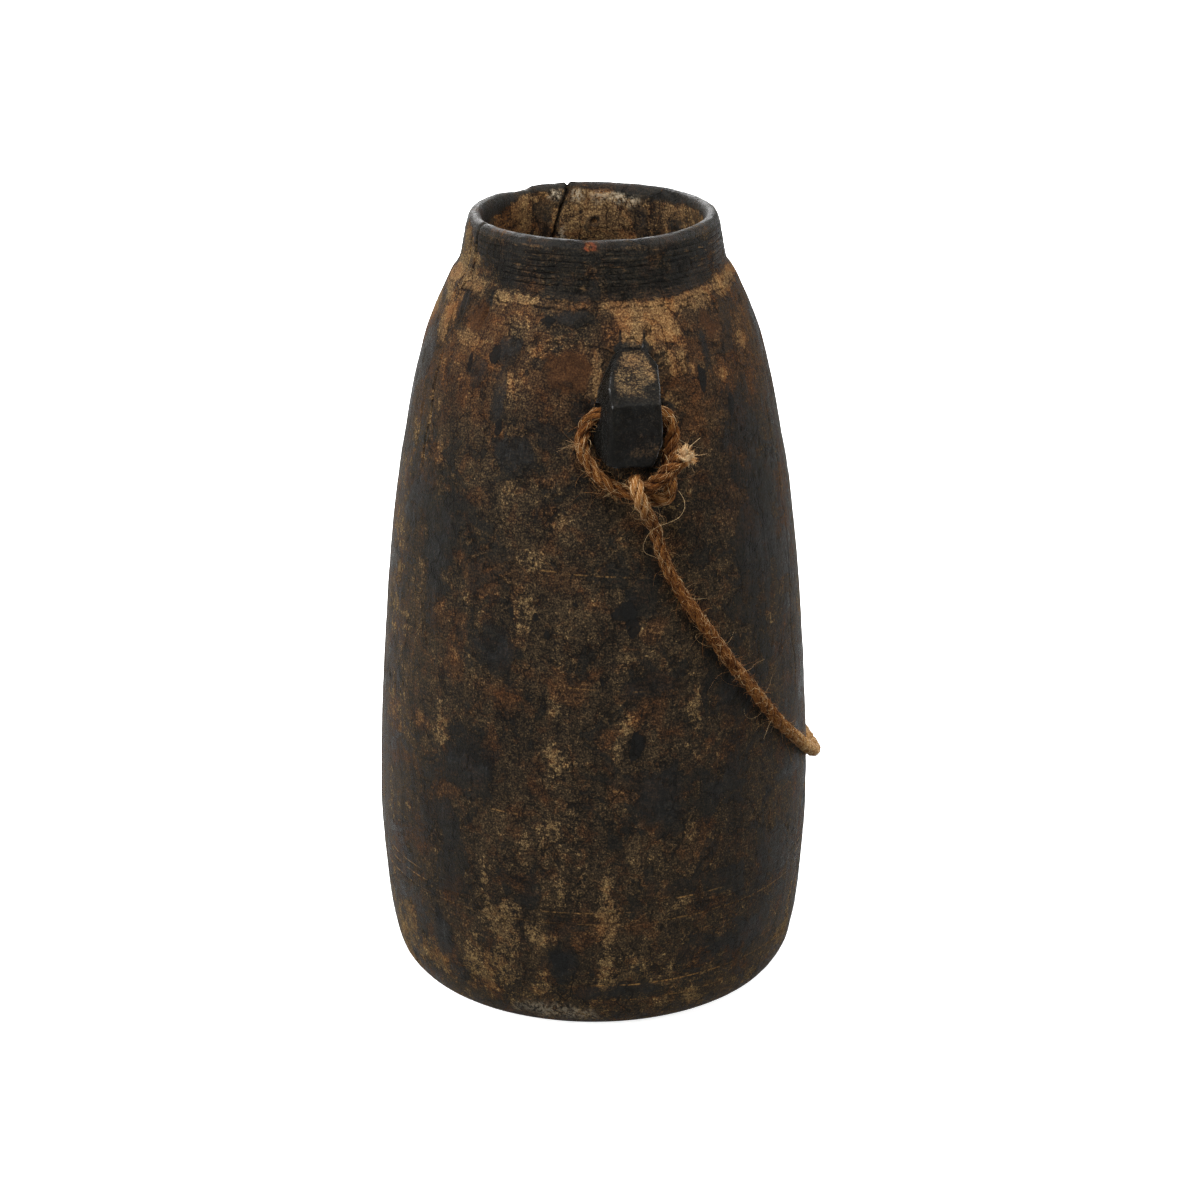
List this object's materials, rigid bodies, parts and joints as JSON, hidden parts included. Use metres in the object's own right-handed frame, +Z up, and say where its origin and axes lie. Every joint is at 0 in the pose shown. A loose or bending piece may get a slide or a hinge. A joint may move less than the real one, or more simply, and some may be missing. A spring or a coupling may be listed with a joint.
{
  "type": "wooden pot with rope handle",
  "caption": "Tall barrel-shaped pot hollowed from one log, with a short grooved collar, carved pierced lugs and a twisted rope carrying handle tied between them.",
  "frame": {"origin": "centre of the base, on the surface the pot stands on", "axes": "+Z up along the turning axis; the front lug is on -Y, the back lug on +Y; the rope handle hangs round the +X side"},
  "size_m": [0.2155, 0.2182, 0.379],
  "materials": {
    "wood": "aged dark patina with worn ochre patches, satin to matt",
    "rope": "hairy twisted jute, matt"
  },
  "bodies": {
    "pot": {"pot_body": "wood", "rope_front_loop": "rope", "rope_front_knot": "rope", "rope_front_tail": "rope", "rope_back_loop": "rope", "rope_back_knot": "rope", "rope_back_tail": "rope"},
    "rope_handle": {"rope_run": "rope"}
  },
  "joints": [
    {"name": "rope_handle_lift", "type": "hinge", "parent": "pot", "child": "rope_handle", "pos_m": [0.0092, 0, 0.271], "axis": [0, -1, 0], "range_deg": [0, 150]}
  ]
}
